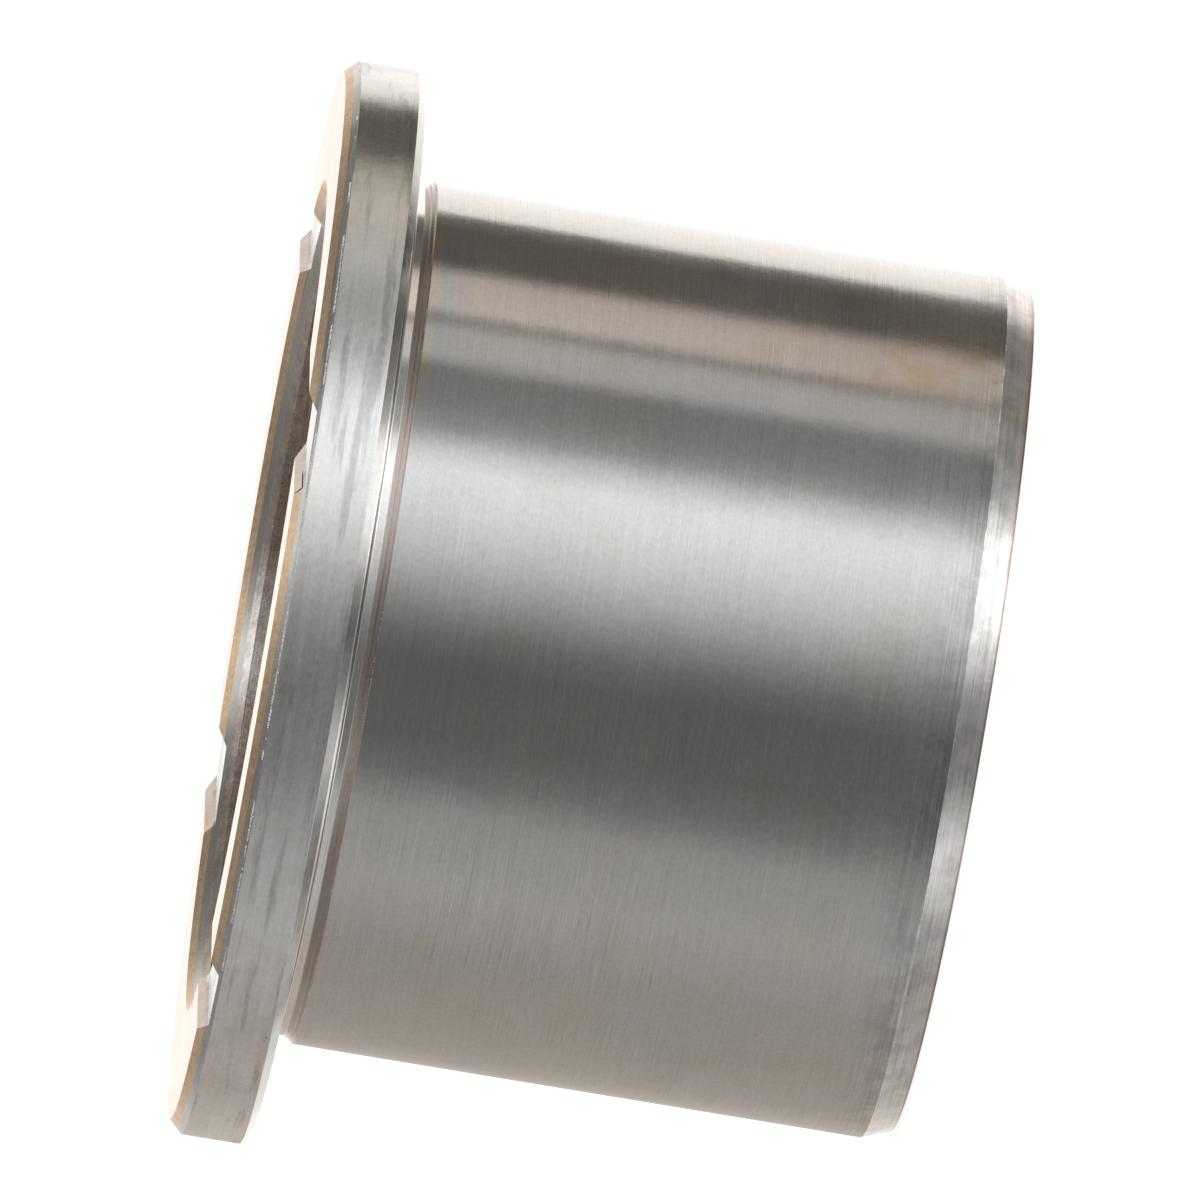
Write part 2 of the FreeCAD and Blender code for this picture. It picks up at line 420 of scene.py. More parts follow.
@once("materials", "ground_steel_finish")
def ground_steel_finish(name):
    """The ground sleeve: fine lines round the axis, faint blotches and heat tint beside the flange."""
    finish = finishes()
    material, tree, shader = new_finish(name, Metallic=1.0, Anisotropic=0.8, Anisotropic_Rotation=0.25)
    fine = tool_marks(tree, lines=8000, run=110)
    broad = tool_marks(tree, lines=900, run=18, detail=2)
    short = tool_marks(tree, lines=5200, run=900, detail=2)
    streak = tool_marks(tree, lines=2600, run=60)
    grain = blotches(tree, scale=2300, low=0.4, high=0.7, seed=4.4)
    cloud = blotches(tree, scale=95, low=0.42, high=0.72, seed=3.1)
    haze = blotches(tree, scale=420, low=0.4, high=0.75, seed=7.7)
    wave = blotches(tree, scale=150, low=0.4, high=0.75, seed=1.9)
    scuff = blotches(tree, scale=60, low=0.42, high=0.66, seed=5.2)
    cool = blotches(tree, scale=80, low=0.47, high=0.66, seed=11.3)
    brown = blotches(tree, scale=125, low=0.5, high=0.68, seed=15.7)
    rub = blotches(tree, scale=380, low=0.42, high=0.6, seed=2.9)
    wear_and_highlight_breakup = blotches(tree, scale=520, low=0.45, high=0.62, seed=6.1, stretch=0.4)

    ramp_low, ramp_high = relief_heights()
    lead_top = sizes().lead_run
    crisp = 0.06 * MM
    below = -10 * MM
    ramp = belt(tree, ramp_low, ramp_high, crisp)
    floor = belt(tree, ramp_high + 0.02 * MM, 66 * MM, crisp)
    # painted highlight: a thin pale line along the edge at the top of the lead-in chamfer
    shoulder = belt(tree, lead_top - 0.06 * MM, lead_top + 0.07 * MM, 0.05 * MM)
    rust_line = belt(tree, below, 0.22 * MM, 0.12 * MM)
    end = belt(tree, below, 12 * MM, 14 * MM)
    tip = belt(tree, below, 5.5 * MM, 3.5 * MM)
    close = belt(tree, 48 * MM, 80 * MM, 18 * MM)
    straw = belt(tree, 59.8 * MM, 60.5 * MM, 0.3 * MM, facing=1.12, half=0.3, soft=0.12)
    tint_near = belt(tree, 57.5 * MM, 60.3 * MM, 2 * MM, facing=1.14, half=0.22, soft=0.1)
    tint_free = belt(tree, 2 * MM, 26 * MM, 12 * MM, facing=1.14, half=0.1, soft=0.08)
    lower = belt(tree, 0.0, 60 * MM, 6 * MM, facing=-0.55, half=0.55, soft=0.35)

    pale_lines = map_smooth(tree, fine["Height"], 0.6, 0.7)
    dark_lines = map_smooth(tree, fine["Height"], 0.3, 0.4, 1.0, 0.0)
    scratch = times(tree, minus(tree, pale_lines, dark_lines), partly(tree, 0.15, scuff["Mask"], 0.85))
    colour = finish.ground
    for mask, share, other in (
        (cloud["Mask"], 0.28, (0.54, 0.52, 0.475)),
        (cool["Mask"], 0.45, (0.56, 0.577, 0.6)),
        (brown["Mask"], 0.32, (0.57, 0.525, 0.465)),
        (haze["Mask"], 0.18, (0.65, 0.64, 0.62)),
        (tint_near, 0.75, (0.5, 0.56, 0.59)),
        (straw, partly(tree, 0.12, wear_and_highlight_breakup["Mask"], 0.7), (0.7, 0.56, 0.34)),
        (tint_free, partly(tree, 0.2, brown["Mask"], 0.45), finish.stain),
        (lower, times(tree, cloud["Mask"], 0.3), (0.52, 0.52, 0.45)),
        (ramp, 0.8, (0.38, 0.32, 0.29)),
        (floor, 0.9, finish.weld),
        # painted highlight on the shoulder edge, broken up by the wear and highlight mask
        (shoulder, plus(tree, 0.2, wear_and_highlight_breakup["Mask"]), (0.95, 0.93, 0.9)),
        (rust_line, 0.8, (0.36, 0.24, 0.18)),
    ):
        colour = tint(tree, colour, mask, share, other)
    set_colour(tree, shader, brightened(
        tree, colour, (fine["Centred"], 0.3), (broad["Centred"], 0.06), (short["Centred"], 0.16),
        (cloud["Centred"], 0.26), (grain["Centred"], 0.26), (scratch, 0.26),
        (times(tree, tip, rub["Mask"]), -0.16), (times(tree, tip, streak["Centred"]), 0.9)))
    set_roughness(
        tree, shader, finish.ground_roughness, (cloud["Centred"], 0.1), (fine["Centred"], 0.14),
        (grain["Centred"], 0.08), (ramp, 0.1), (end, 0.07), (floor, -0.06), (close, -0.045))
    set_relief(
        tree, shader, (fine["Height"], 0.002), (broad["Height"], 0.003), (short["Height"], 0.001),
        (wave["Centred"], 0.032), (grain["Centred"], 0.001))
    return material


@once("materials", "turned_steel_finish")
def turned_steel_finish(name):
    """The turned flange: a little rougher, with smears, grey mottle and small rust spots."""
    finish = finishes()
    material, tree, shader = new_finish(name, Metallic=1.0, Anisotropic=0.5, Anisotropic_Rotation=0.25)
    fine = tool_marks(tree, lines=6500, run=170)
    broad = tool_marks(tree, lines=1300, run=30)
    short = tool_marks(tree, lines=3600, run=1100, detail=2)
    smudge = tool_marks(tree, lines=330, run=55, detail=4)
    grain = blotches(tree, scale=2100, low=0.4, high=0.7, seed=3.6)
    cloud = blotches(tree, scale=170, low=0.4, high=0.66, seed=1.3)
    patch = blotches(tree, scale=330, low=0.52, high=0.74, seed=5.9, stretch=0.5)
    spots = use_group(tree, speck_group(), Scale=620, Size=0.2, Share=0.05)["Mask"]
    # painted sheen: along the side of the flange that faces down in the view, the colour is made paler; the
    # surface is also rougher there
    rough_painted_sheen_side = belt(tree, facing=-1.24, half=0.22, soft=0.22)
    # painted highlight: the belt named bright lies where the flange mirrors the light tent's brightest
    # strip, and is tinted near white
    bright = belt(tree, facing=0.6, half=0.6, soft=0.3)
    # smoother belt on the upper side, where the flange mirrors the tent's dark strip; its darkening of the
    # colour below is painted shade
    crisp = belt(tree, facing=1.42, half=0.2, soft=0.14)
    olive = belt(tree, facing=1.12, half=0.28, soft=0.12)
    inset, fade = 0.01 * MM, 0.03 * MM
    back_top = FLANGE_LOW.z + sizes().back_run
    rim = belt(tree, FLANGE_HIGH.z - steel_rim() - inset, 72 * MM, fade)
    back = belt(tree, FLANGE_LOW.z + 4 * inset, back_top - inset, fade)

    colour = finish.turned
    for mask, share, other in (
        (cloud["Mask"], 0.45, (0.54, 0.545, 0.51)),
        (patch["Mask"], 0.35, (0.64, 0.63, 0.59)),
        (spots, 0.45, (0.36, 0.25, 0.17)),
        (olive, partly(tree, 0.4, cloud["Mask"], 0.35), (0.6, 0.635, 0.565)),
        # painted highlight on the bright belt
        (bright, 0.42, (0.98, 0.98, 0.97)),
        (rough_painted_sheen_side, 0.75, (1.0, 0.97, 0.94)),
    ):
        colour = tint(tree, colour, mask, share, other)
    smear = map_smooth(tree, smudge["Height"], 0.54, 0.66)
    set_colour(tree, shader, brightened(
        tree, colour, (fine["Centred"], 0.18), (broad["Centred"], 0.26), (short["Centred"], 0.22),
        (grain["Centred"], 0.26), (cloud["Centred"], 0.2), (smear, -0.26), (rim, -0.18), (back, -0.12),
        # the crisp belt's darkening is painted shade
        (crisp, -0.08)))
    set_roughness(
        tree, shader, finish.turned_roughness, (cloud["Centred"], 0.22), (broad["Centred"], 0.16),
        (grain["Centred"], 0.12), (back, -0.2), (rim, -0.06), (crisp, -0.15), (rough_painted_sheen_side, 0.16))
    set_relief(
        tree, shader, (fine["Height"], 0.004), (broad["Height"], 0.006), (short["Height"], 0.003),
        (patch["Centred"], 0.02))
    return material


@once("materials", "weld_finish")
def weld_finish(name):
    """The dressed weld: smooth and bright, with small ripples."""
    material, tree, shader = new_finish(name, Metallic=1.0)
    ripple = blotches(tree, scale=700, low=0.35, high=0.7, seed=2.2)
    cloud = blotches(tree, scale=210, low=0.45, high=0.7, seed=8.2)
    weld = finishes().weld
    set_colour(tree, shader, tint(tree, weld, cloud["Mask"], 0.4, (0.7, 0.67, 0.63)))
    set_roughness(tree, shader, 0.07, (ripple["Centred"], 0.15))
    set_relief(tree, shader, (ripple["Centred"], 0.02))
    return material


@once("materials", "burr_finish")
def burr_finish(name):
    """Raw bright metal on the tips of turned edges."""
    material, tree, shader = new_finish(name, Metallic=0.35)
    cloud = blotches(tree, scale=260, low=0.35, high=0.65, seed=9.4)["Mask"]
    set_colour(tree, shader, mix_colour(tree, cloud, (1.0, 1.0, 0.99), (0.7, 0.66, 0.62)))
    set_roughness(tree, shader, 0.22, (cloud, 0.15))
    return material


@once("materials", "seam_finish")
def seam_finish(name):
    """Near-black colour for the strand along a parting line."""
    material, tree, shader = new_finish(name, Roughness=0.6)
    cloud = blotches(tree, scale=900, low=0.35, high=0.65, seed=1.4)["Mask"]
    set_colour(tree, shader, mix_colour(tree, cloud, (0.035, 0.028, 0.024), (0.12, 0.09, 0.07)))
    return material


def facing_away(tree):
    """How squarely the surface faces towards or away from the axis."""
    space = tree.nodes.new("ShaderNodeTexCoord").outputs
    flat = vector_node(tree, "MULTIPLY", space["Object"], (1.0, 1.0, 0.0))
    outwards = vector_node(tree, "NORMALIZE", flat)
    return math_node(tree, "ABSOLUTE", vector_node(tree, "DOT_PRODUCT", space["Normal"], outwards))


def bronze_finish(name, bright, dull, dull_share, roughness, seed, painted_face_sheen=False, painted_bore_highlight=False):
    """Porous mottled bronze. Faces square to the axis get a painted sheen that makes them paler than the
    chamfers, and one belt of the bore gets a painted highlight.
    """
    material, tree, shader = new_finish(name, Metallic=1.0)
    fine = tool_marks(tree, lines=4200, run=60)
    cloud = blotches(tree, scale=230, low=0.36, high=0.66, seed=seed)
    mottle = blotches(tree, scale=620, low=0.42, high=0.62, seed=seed + 5)["Mask"]
    grain = blotches(tree, scale=2200, low=0.4, high=0.7, seed=seed + 2)
    pits = use_group(tree, speck_group(), Scale=2300, Size=0.3, Share=0.2)["Mask"]

    film = scaled(tree, (cloud["Mask"], 0.45), (mottle, 0.35), (1.0, 0.25))
    colour = tint(tree, bright, film, dull_share, dull)
    if painted_face_sheen:
        # painted sheen: faces square to the axis are tinted pale, the chamfers are not
        pale = map_smooth(tree, facing_away(tree), 0.35, 0.62, 0.85, 0.0)
        colour = mix_colour(tree, pale, colour, (0.94, 0.83, 0.78))
    if painted_bore_highlight:
        # painted highlight: a pale stripe on the far side of the bore, across from the camera, broken up by
        # the mottle
        painted_highlight_share = minus(tree, 1.0, times(tree, mottle, 0.45))
        run = belt(tree, facing=3.51, half=0.16, soft=0.07)
        colour = tint(tree, colour, run, painted_highlight_share, (1.0, 0.96, 0.93))
    colour = tint(tree, colour, pits, 0.45, dull)
    set_colour(tree, shader, brightened(tree, colour, (fine["Centred"], 0.35), (grain["Centred"], 0.75)))
    set_roughness(
        tree, shader, roughness, (cloud["Centred"], 0.2), (fine["Centred"], 0.2), (grain["Centred"], 0.15))
    set_relief(tree, shader, (fine["Height"], 0.005), (grain["Centred"], 0.008), (pits, -0.01))
    return material


@once("materials", "lining_bronze_finish")
def lining_finish(name):
    finish = finishes()
    return bronze_finish(
        name, finish.bore, finish.bore_dull, 0.72, finish.bronze_roughness - 0.1, 4.0, painted_bore_highlight=True)


@once("materials", "facing_bronze_finish")
def facing_finish(name):
    finish = finishes()
    return bronze_finish(
        name, finish.bronze, finish.tarnish, 0.28, finish.bronze_roughness, 6.0, painted_face_sheen=True)


# --- turned shapes ---


# Radius of the rail that outlines are swept round. Their radii are measured from it.
RAIL = 10 * MM


def rounded_outline(corners, steps=3):
    """Closed outline of (radius, height, corner round) corners, with each round made of short chords."""
    points = []
    count = len(corners)
    for i, (r, z, fillet) in enumerate(corners):
        here = Vector((r, z))
        before = Vector(corners[i - 1][:2]) - here
        after = Vector(corners[(i + 1) % count][:2]) - here
        if fillet <= 0:
            points.append(here)
            continue
        half = before.angle(after) / 2
        reach = min(fillet / math.tan(half), 0.45 * before.length, 0.45 * after.length)
        radius = reach * math.tan(half)
        bisector = (before.normalized() + after.normalized()).normalized()
        centre = here + bisector * (radius / math.sin(half))
        start = here + before.normalized() * reach - centre
        end = here + after.normalized() * reach - centre
        sweep = start.angle_signed(end)
        for k in range(steps + 1):
            turn = -sweep * k / steps
            cos, sin = math.cos(turn), math.sin(turn)
            points.append(centre + Vector((start.x * cos - start.y * sin, start.x * sin + start.y * cos)))
    return points


def ridged(start, end, pitch, depth):
    """Corners of fine turned ridges along a straight flank, cut inwards from it."""
    a, b = Vector(start), Vector(end)
    count = max(2, round((b - a).length / pitch))
    inwards = Vector((-(b - a).y, (b - a).x)).normalized() * depth
    corners = []
    for k in range(1, count):
        point = a.lerp(b, k / count)
        if k % 2:
            point = point + inwards
        corners.append((point.x, point.y, 0.0))
    return corners


def step(tree, kind, inputs=None, **settings):
    """Adds a geometry node and gives its first output."""
    return add_node(tree, "GeometryNode" + kind, inputs, **settings).outputs[0]


def is_more(tree, a, b):
    return add_node(
        tree, "FunctionNodeCompare", {0: a, 1: b}, data_type="FLOAT", operation="GREATER_THAN").outputs[0]


def random_vector(tree, seed, low, high):
    inputs = {"Seed": seed, 0: (low, low, low), 1: (high, high, high)}
    return add_node(tree, "FunctionNodeRandomValue", inputs, data_type="FLOAT_VECTOR").outputs[0]


def end_tree(tree, result, shape, material):
    """Every tree ends in real geometry with its material."""
    real = step(tree, "RealizeInstances", {"Geometry": shape})
    tree.links.new(step(tree, "SetMaterial", {"Geometry": real, "Material": material}), result[0])
    return tree


@once("node_groups", "turned_part")
def turning_tree(name):
    """Geometry nodes: sweeps an outline round the axis, cuts the oil grooves and marks the sharp edges."""
    tree, given, result = new_group(name, {
        "Outline": "Geometry", "Segments": "Int", "Rail Radius": "Float", "Grooved": "Bool",
        "Groove Cutter": "Object", "Sharp Angle": "Float", "Material": "Material",
    }, ("Part",), "GeometryNodeTree")
    profile = step(tree, "MeshToCurve", {"Mesh": given["Outline"]})
    circle = {"Resolution": given["Segments"], "Radius": given["Rail Radius"]}
    rail = step(tree, "CurvePrimitiveCircle", circle)
    upright = step(tree, "SetCurveNormal", {"Curve": rail}, mode="Z_UP")
    swept = step(tree, "CurveToMesh", {"Curve": upright, "Profile Curve": profile})
    cutter = add_node(tree, "GeometryNodeObjectInfo", {"Object": given["Groove Cutter"]}).outputs["Geometry"]
    both = {"Mesh 1": swept, "Mesh 2": cutter}
    cut = step(tree, "MeshBoolean", both, operation="DIFFERENCE", solver="EXACT")
    chosen = step(
        tree, "Switch", {"Switch": given["Grooved"], "False": swept, "True": cut}, input_type="GEOMETRY")
    soft = step(tree, "SetShadeSmooth", {"Geometry": chosen, "Shade Smooth": True}, domain="FACE")
    steep = is_more(tree, step(tree, "InputMeshEdgeAngle"), given["Sharp Angle"])
    hard = step(
        tree, "SetShadeSmooth", {"Geometry": soft, "Selection": steep, "Shade Smooth": False}, domain="EDGE")
    return end_tree(tree, result, hard, given["Material"])


def link_object(name, data):
    piece = bpy.data.objects.new(name, data)
    bpy.context.scene.collection.objects.link(piece)
    return piece


def object_from(name, edit):
    """Makes an object of an edited mesh, with its faces turned outwards."""
    bmesh.ops.recalc_face_normals(edit, faces=edit.faces)
    data = bpy.data.meshes.new(name)
    edit.to_mesh(data)
    edit.free()
    return link_object(name, data)


def add_tree(piece, label, tree, values):
    """Gives a piece a geometry tree with its inputs set."""
    modifier = piece.modifiers.new(label, "NODES")
    modifier.node_group = tree
    for item in tree.interface.items_tree:
        if item.in_out == "INPUT" and item.name in values:
            modifier[item.identifier] = values[item.name]


def plain_mesh(piece, name):
    """Turns a piece with modifiers into a plain mesh object."""
    depsgraph = bpy.context.evaluated_depsgraph_get()
    mesh = bpy.data.meshes.new_from_object(
        piece.evaluated_get(depsgraph), preserve_all_data_layers=True, depsgraph=depsgraph)
    if not mesh.polygons:
        raise RuntimeError(name + " came out empty")
    mesh.name = name
    old = piece.data
    piece.modifiers.clear()
    piece.data = mesh
    piece.name = name
    bpy.data.meshes.remove(old)
    return piece


def turned_piece(name, outline, material, grooved=False):
    """Sweeps an outline of (radius, height) points into a closed ring."""
    mesh = bpy.data.meshes.new(name)
    count = len(outline)
    edges = [(i, (i + 1) % count) for i in range(count)]
    mesh.from_pydata([(p[0] - RAIL, -p[1], 0.0) for p in reversed(outline)], edges, [])
    piece = link_object(name, mesh)
    cutter = groove_cutter() if grooved else None
    add_tree(piece, "turning", turning_tree(), {
        "Segments": sizes().segments, "Rail Radius": RAIL, "Grooved": grooved,
        "Groove Cutter": cutter, "Sharp Angle": math.radians(32), "Material": material,
    })
    normals = piece.modifiers.new("face normals", "WEIGHTED_NORMAL")
    normals.keep_sharp = True
    plain_mesh(piece, name)
    if cutter:
        data = cutter.data
        bpy.data.objects.remove(cutter)
        bpy.data.meshes.remove(data)
    return piece


def groove_cutter():
    """Two straight milling passes across the thrust face, with rounded floor corners and broken edges."""
    top = PAD_HIGH.z
    floor, mouth, depth = sizes().groove_floor / 2, sizes().groove_mouth / 2, sizes().groove_depth
    broken, spare = 0.06 * MM, 2 * MM
    lean = (mouth - floor) / depth
    half = rounded_outline([
        (0.0, top - depth, 0.0), (floor, top - depth, 0.25 * MM), (mouth - broken * lean, top - broken, 0.0),
        (mouth + broken, top, 0.0), (mouth + spare, top + spare, 0.0), (0.0, top + spare, 0.0),
    ], steps=4)
    half = [p for p in half if p.x > 1e-9]
    section = [(p.x, p.y) for p in half] + [(-p.x, p.y) for p in reversed(half)]
    count = len(section)
    reach = FLANGE_HIGH.x + 3 * MM
    mesh = bmesh.new()
    for side in (-1, 1):
        middle = side * sizes().groove_offset
        near, far = [[mesh.verts.new((middle + x, y, z)) for x, z in section] for y in (-reach, reach)]
        for i in range(count):
            j = (i + 1) % count
            mesh.faces.new((near[i], near[j], far[j], far[i]))
        mesh.faces.new(list(reversed(near)))
        mesh.faces.new(far)
    return object_from("groove_cutter", mesh)


@once("node_groups", "edge_burrs")
def burr_tree(name):
    """Geometry nodes: a broken row of tiny burrs round an edge."""
    tree, given, result = new_group(name, {
        "Count": "Int", "Radius": "Float", "Height": "Float", "Size": "Float", "Gap Scale": "Float",
        "Gap Share": "Float", "Heaped": "Vector", "Seed": "Int", "Material": "Material",
    }, ("Burrs",), "GeometryNodeTree")
    ring = step(tree, "MeshCircle", {"Vertices": given["Count"], "Radius": given["Radius"]})
    lift = make_vector(tree, 0.0, 0.0, given["Height"])
    raised = step(tree, "Transform", {"Geometry": ring, "Translation": lift})
    place = step(tree, "InputPosition")
    noise = add_node(tree, "ShaderNodeTexNoise", {
        "Vector": place, "Scale": given["Gap Scale"], "Detail": 3.0}).outputs[0]
    thick = plus(tree, noise, vector_node(tree, "DOT_PRODUCT", place, given["Heaped"]))
    ball = step(tree, "MeshIcoSphere", {"Radius": given["Size"], "Subdivisions": 1})
    whole_turn = 6.28
    burrs = step(tree, "InstanceOnPoints", {
        "Points": raised,
        "Selection": is_more(tree, thick, given["Gap Share"]),
        "Instance": step(tree, "SetShadeSmooth", {"Geometry": ball, "Shade Smooth": False}, domain="FACE"),
        "Rotation": random_vector(tree, given["Seed"], 0.0, whole_turn),
        "Scale": random_vector(tree, given["Seed"], 0.35, 1.0),
    })
    return end_tree(tree, result, burrs, given["Material"])


def burr_row(name, radius, height, size, count, gap_scale, gap_share, seed, heap=0.0):
    """A row of burrs. Heap is how much thicker it grows on the worked side, as a share."""
    worked = math.radians(26.0)
    heaped = Vector((math.sin(worked), -math.cos(worked), 0.0)) * (heap / radius)
    piece = link_object(name, bpy.data.meshes.new(name))
    add_tree(piece, "burrs", burr_tree(), {
        "Count": count, "Radius": radius - size, "Height": height, "Size": size, "Gap Scale": gap_scale,
        "Gap Share": gap_share, "Heaped": heaped, "Seed": seed, "Material": burr_finish(),
    })
    return plain_mesh(piece, name)


def thread(name, path, radius, material, sides=6):
    """A closed thin strand along a path, finer towards both ends."""
    mesh = bmesh.new()
    rings = []
    turns = [2 * math.pi * i / sides for i in range(sides)]
    for k, point in enumerate(path):
        ahead = (path[min(k + 1, len(path) - 1)] - path[max(k - 1, 0)]).normalized()
        aside = (aside - aside.dot(ahead) * ahead).normalized() if rings else ahead.orthogonal().normalized()
        over = ahead.cross(aside)
        size = radius * (0.35 + 0.65 * math.sin(math.pi * (k + 0.5) / len(path)))
        arms = [math.cos(t) * aside + math.sin(t) * over for t in turns]
        rings.append([mesh.verts.new(point + size * arm) for arm in arms])
    for a, b in zip(rings, rings[1:]):
        for i in range(sides):
            mesh.faces.new((a[i], a[(i + 1) % sides], b[(i + 1) % sides], b[i]))
    mesh.faces.new(list(reversed(rings[0])))
    mesh.faces.new(rings[-1])
    piece = object_from(name, mesh)
    piece.data.materials.append(material)
    return piece


def hand_over(piece, nodes):
    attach(piece, "root")
    if nodes:
        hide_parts(*nodes)


# --- one operator for each piece ---


class BUSHING_OT_sleeve(bpy.types.Operator):
    """Ground steel sleeve with its lead-in chamfer, relief and grooved head"""
    bl_idname = "bushing.sleeve"
    bl_label = "Sleeve shell"

    def execute(self, context):
        s = sizes()
        out, inner, top = SLEEVE_HIGH.x, LINING_HIGH.x, SLEEVE_HIGH.z
        seat = seat_radius()
        ramp_low, ramp_high = relief_heights()
        corner = top - LINING_HIGH.z
        nose = (out - s.lead_drop, 0.0)
        shoulder = (out, s.lead_run)
        marks_top = ramp_high + 0.3 * MM
        outline = [(inner, 0.0, 0.0), (*nose, 0.12 * MM)]
        outline += ridged(nose, shoulder, pitch=0.11 * MM, depth=0.006 * MM)
        outline += [(*shoulder, s.edge_round), (out, ramp_low, s.edge_round)]
        outline += ridged((out, ramp_low), (seat, ramp_high), pitch=0.26 * MM, depth=0.075 * MM)
        outline += [(seat, ramp_high, 0.0)]
        outline += ridged((seat, ramp_high), (seat, marks_top), pitch=0.1 * MM, depth=0.02 * MM)
        outline += [(seat, WELD_LOW.z, 0.0), (seat, top, 0.0)]
        outline += [(inner + corner, top, 0.0), (inner, top - corner, 0.0)]
        piece = turned_piece("sleeve_body", rounded_outline(outline), ground_steel_finish(), grooved=True)
        hand_over(piece, ["sleeve_shell"])
        return {"FINISHED"}


class BUSHING_OT_flange(bpy.types.Operator):
    """Steel flange ring with chamfered rims and the grooves' floors"""
    bl_idname = "bushing.flange"
    bl_label = "Flange ring"

    def execute(self, context):
        s = sizes()
        out, top, back = FLANGE_HIGH.x, FLANGE_HIGH.z, FLANGE_LOW.z
        seat, rim = seat_radius(), steel_rim()
        bevel = WELD_HIGH.z - back
        outline = [
            (seat, back + bevel, 0.0), (seat + bevel, back, 0.0), (out - s.back_drop, back, 0.1 * MM),
            (out, back + s.back_run, s.edge_round), (out, top - rim, s.edge_round),
            (out - rim, top, 0.0), (seat, top, 0.0),
        ]
        piece = turned_piece("flange_body", rounded_outline(outline), turned_steel_finish(), grooved=True)
        hand_over(piece, ["flange_ring"])
        return {"FINISHED"}


class BUSHING_OT_weld(bpy.types.Operator):
    """Dressed weld in the corner between sleeve and flange"""
    bl_idname = "bushing.weld"
    bl_label = "Weld bead"

    def execute(self, context):
        seat = seat_radius()
        reach = WELD_HIGH.x - seat
        steps = 8
        turns = [k * math.pi / 2 / steps for k in range(steps + 1)]
        outline = [Vector((seat + reach * math.sin(t), FLANGE_LOW.z - reach * math.cos(t))) for t in turns]
        outline.append(Vector((seat, WELD_HIGH.z)))
        piece = turned_piece("weld_ring", outline, weld_finish())
        hand_over(piece, ["weld_bead"])
        return {"FINISHED"}


class BUSHING_OT_lining(bpy.types.Operator):
    """Bronze lining of the bore"""
    bl_idname = "bushing.lining"
    bl_label = "Bore lining"

    def execute(self, context):
        s = sizes()
        outer, top = LINING_HIGH.x, LINING_HIGH.z
        wall = outer - s.bore
        outline = [
            (s.bore, s.exit_chamfer, s.edge_round), (s.bore + s.exit_chamfer, 0.0, 0.0), (outer, 0.0, 0.0),
            (outer, top, 0.0), (s.bore, top - wall, s.edge_round),
        ]
        piece = turned_piece("bore_bronze", rounded_outline(outline), lining_finish())
        hand_over(piece, ["bore_lining"])
        return {"FINISHED"}


class BUSHING_OT_pads(bpy.types.Operator):
    """The four bronze thrust pads between the oil grooves"""
    bl_idname = "bushing.pads"
    bl_label = "Thrust pads"

    def execute(self, context):
        s = sizes()
        base, face = PAD_LOW.z, PAD_HIGH.z
        thick, outer = face - base, pad_foot_radius()
        inner = s.bore + s.mouth_chamfer
        outline = [
            (inner - thick, base, 0.0), (outer, base, 0.0),
            (outer - thick, face, s.edge_round), (inner, face, s.edge_round),
        ]
        ring = turned_piece("thrust_facing", rounded_outline(outline), facing_finish(), grooved=True)
        for which, (node, name) in enumerate(zip(PAD_NODES, PAD_NAMES)):
            pad = link_object(name, ring.data.copy())
            edit = bmesh.new()
            edit.from_mesh(pad.data)
            others = [v for v in edit.verts if self.pad_at(v.co, s.groove_offset) != which]
            bmesh.ops.delete(edit, geom=others, context="VERTS")
            edit.to_mesh(pad.data)
            edit.free()
            if not pad.data.polygons:
                raise RuntimeError(name + " came out empty")
            hand_over(pad, [node])
        bpy.data.objects.remove(ring)
        return {"FINISHED"}

    def pad_at(self, point, groove):
        """Number of the pad that a point of the facing belongs to: right, far, left or near."""
        if abs(point.x) > groove:
            return 0 if point.x > 0 else 2
        return 1 if point.y > 0 else 3


class BUSHING_OT_burrs(bpy.types.Operator):
    """Fine bright burrs along the flange rim and the relief, and the dark seam of one pad"""
    bl_idname = "bushing.burrs"
    bl_label = "Burrs and seam"

    def execute(self, context):
        rim_height = FLANGE_HIGH.z - steel_rim() + 0.11 * MM
        rim = burr_row("rim_burrs", FLANGE_HIGH.x, rim_height, size=0.2 * MM, count=2600,
                       gap_scale=170.0, gap_share=0.76, seed=3, heap=0.34)
        hand_over(rim, [])
        relief_height = relief_heights()[0] + 0.05 * MM
        relief = burr_row("relief_burrs", SLEEVE_HIGH.x, relief_height, size=0.09 * MM, count=900,
                          gap_scale=240.0, gap_share=0.54, seed=8)
        hand_over(relief, [])
        seam = thread("pad_seam", self.seam_path(sizes()), 0.09 * MM, seam_finish())
        hand_over(seam, [])
        return {"FINISHED"}

    def seam_path(self, s):
        """The parting line at one corner of a pad: down the end of its wall, then along the wall's foot."""
        thick, outer = PAD_HIGH.z - PAD_LOW.z, pad_foot_radius()
        lean = (s.groove_mouth - s.groove_floor) / 2 / s.groove_depth
        path = []
        wall_steps, foot_steps = 5, 12
        for k in range(wall_steps + 1):
            drop = thick * k / wall_steps
            x, radius = s.groove_offset - s.groove_mouth / 2 + lean * drop, outer - thick + drop
            path.append(Vector((x, -math.sqrt(radius ** 2 - x ** 2), PAD_HIGH.z - drop)))
        foot = path[-1]
        path += [foot + Vector((0, 0.5 * MM * (k + 1), 0)) for k in range(foot_steps)]
        wander, proud, sunk = 0.02 * MM, 0.02 * MM, 0.03 * MM
        return [p + Vector((wander * math.sin(2.3 * k), -proud, -sunk)) for k, p in enumerate(path)]


# --- the studio ---


